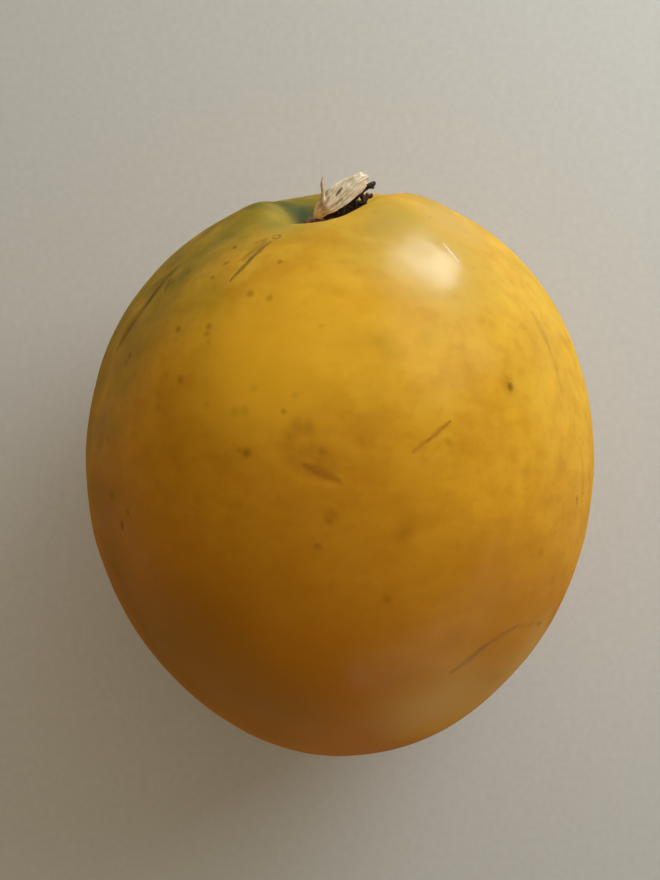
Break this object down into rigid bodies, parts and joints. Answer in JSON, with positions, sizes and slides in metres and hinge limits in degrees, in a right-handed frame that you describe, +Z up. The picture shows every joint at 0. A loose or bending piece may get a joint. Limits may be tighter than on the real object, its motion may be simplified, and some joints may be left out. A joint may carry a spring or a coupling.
{
  "type": "passion fruit",
  "caption": "Whole yellow passion fruit lying on its side, egg-shaped, with the dried flower remnant in its stem hollow.",
  "frame": {"origin": "middle of the object's box, on the surface that the fruit lies on", "axes": "+Z up, +Y towards the stem end, +X to the right of the picture"},
  "size_m": [0.072, 0.0806, 0.0726],
  "materials": {
    "rind": "satin",
    "stalk_skin": "matte",
    "dry_paper": "matte",
    "dark_thread": "matte"
  },
  "bodies": {
    "root": {"fruit": "rind", "stalk": "stalk_skin", "dry_calyx": "dry_paper", "dry_corona": "dark_thread"}
  },
  "joints": []
}
